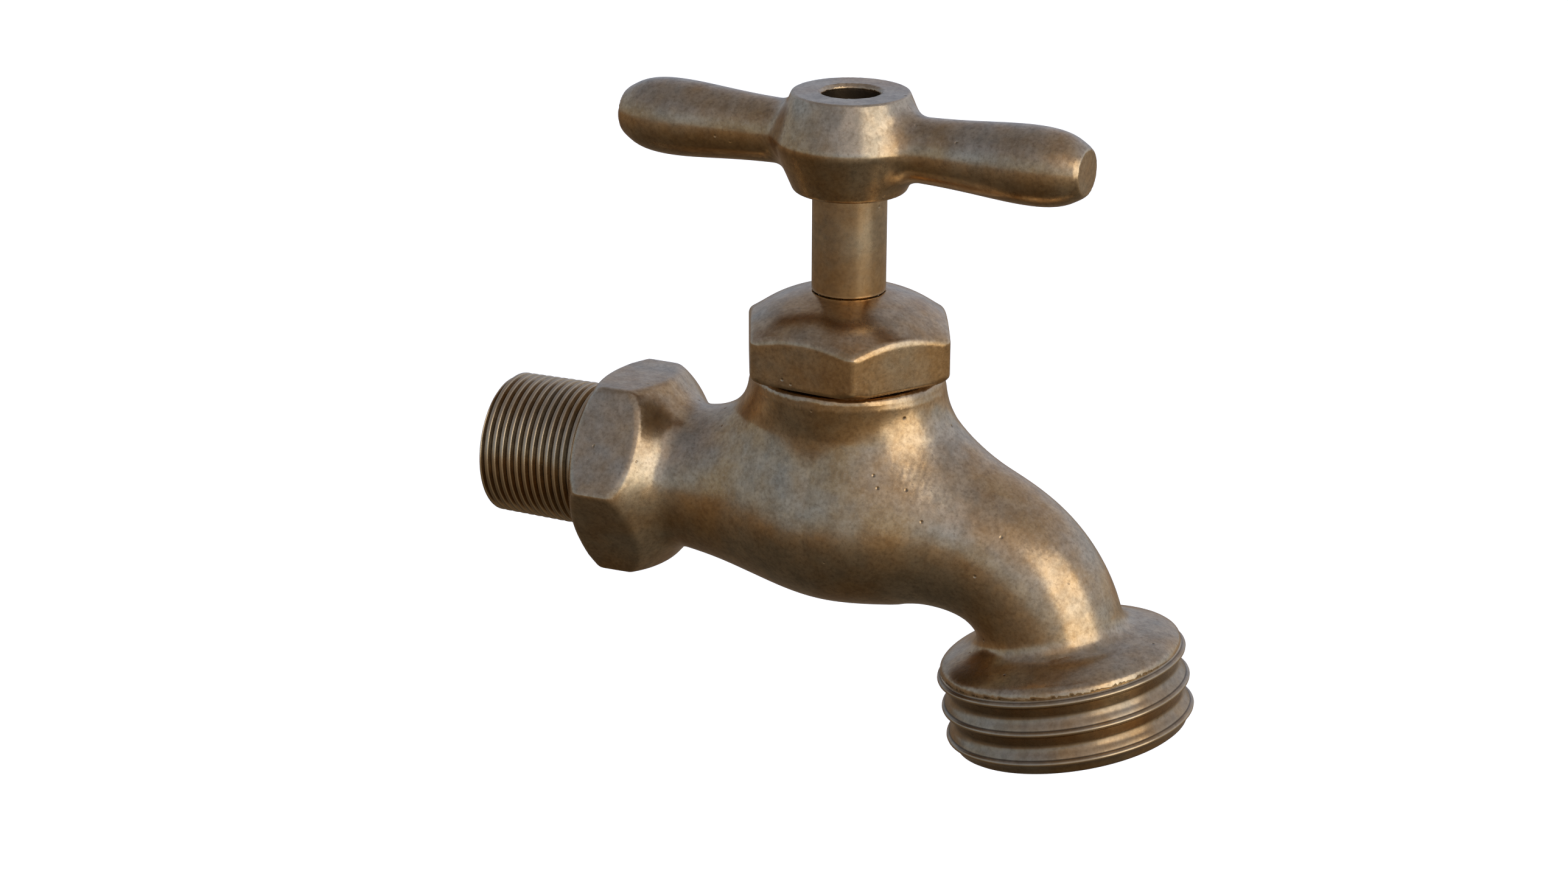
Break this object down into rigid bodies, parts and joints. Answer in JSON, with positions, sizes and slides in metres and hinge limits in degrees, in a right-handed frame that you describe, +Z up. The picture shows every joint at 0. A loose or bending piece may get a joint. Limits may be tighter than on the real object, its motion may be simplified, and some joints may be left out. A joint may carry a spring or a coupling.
{
  "type": "hose bib",
  "caption": "Antique brass hose bib: compression valve with a T-handle, packing nut, hex shank, male supply thread and a down-turned male hose thread.",
  "frame": {"origin": "centre of the inlet end face, on the axis of the supply thread", "axes": "+X along the supply thread axis towards the spout, +Z up along the spindle towards the handle, +Y completes a right-handed frame"},
  "size_m": [0.0814, 0.027, 0.0706],
  "materials": {
    "antique_brass": "cast and turned brass with a mottled brown antique patina, satin",
    "machined_brass": "machined, satin",
    "graphite_packing": "braided graphite packing cord, dull",
    "rubber": "moulded black rubber, dull",
    "steel": "zinc-plated steel, satin"
  },
  "bodies": {
    "faucet_body": {"body_casting": "antique_brass", "seat_ring": "machined_brass", "packing_washer": "machined_brass", "packing_ring_1": "graphite_packing", "packing_ring_2": "graphite_packing", "gland_follower": "machined_brass", "packing_nut": "antique_brass"},
    "disc_carrier": {"disc_holder": "machined_brass", "seat_washer": "rubber"},
    "spindle": {"stem": "machined_brass", "retainer_washer": "machined_brass", "washer_screw": "machined_brass", "stem_sleeve": "antique_brass", "lock_washer": "steel", "handle_screw": "steel", "handle": "antique_brass"}
  },
  "joints": [
    {"name": "spindle_lift", "type": "slide", "parent": "faucet_body", "child": "disc_carrier", "axis": [0, 0, 1], "range_m": [0, 0.004]},
    {"name": "handle_turn", "type": "hinge", "parent": "disc_carrier", "child": "spindle", "pos_m": [0.0416, 0, 0.0399], "axis": [0, 0, 1], "range_deg": [0, 900]}
  ],
  "couplings": [
    {"joint": "spindle_lift", "follows": "handle_turn", "m_per_rad": 0.00025465}
  ]
}
